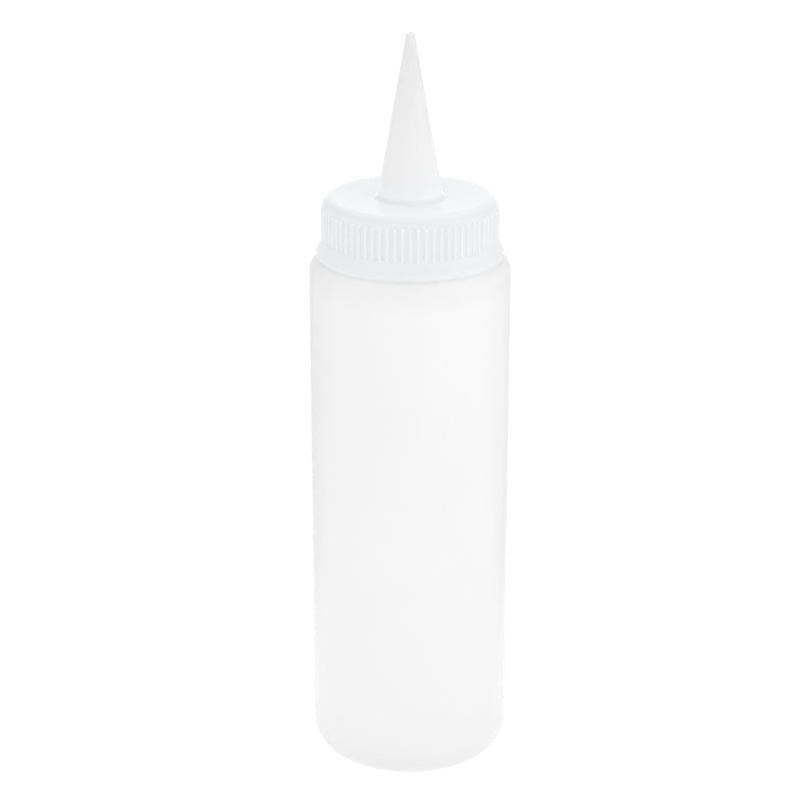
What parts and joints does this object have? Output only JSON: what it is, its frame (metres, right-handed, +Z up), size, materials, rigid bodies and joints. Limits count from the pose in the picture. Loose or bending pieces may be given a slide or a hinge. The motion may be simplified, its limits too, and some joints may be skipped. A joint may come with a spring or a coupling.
{
  "type": "condiment squeeze bottle",
  "caption": "Translucent squeeze bottle for sauces: round blow-moulded body, ribbed screw cap with a tall open cone nozzle, and a flat sealing washer.",
  "frame": {"origin": "centre of the base, on the surface that the bottle stands on", "axes": "+Z up along the axis of the bottle, cap and nozzle; +X is where the bottle's thread starts"},
  "size_m": [0.05, 0.05, 0.1897],
  "materials": {
    "bottle_plastic": "natural blow-moulded low-density polyethylene, milky and translucent, with a fine satin mould texture",
    "cap_plastic": "natural injection-moulded low-density polyethylene, translucent and faintly bluish, semi-gloss",
    "washer_foam": "soft white polyethylene foam, matt"
  },
  "bodies": {
    "bottle_body": {"bottle": "bottle_plastic"},
    "washer_body": {"seal_washer": "washer_foam"},
    "cap_body": {"nozzle_cap": "cap_plastic"}
  },
  "joints": [
    {"name": "cap_rise", "type": "slide", "parent": "bottle_body", "child": "washer_body", "axis": [0, 0, 1], "range_m": [0, 0.0127]},
    {"name": "cap_turn", "type": "hinge", "parent": "washer_body", "child": "cap_body", "pos_m": [0, 0, 0.1477], "axis": [0, 0, 1], "range_deg": [0, 1080]}
  ],
  "couplings": [
    {"joint": "cap_rise", "follows": "cap_turn", "m_per_rad": 0.00067322}
  ]
}
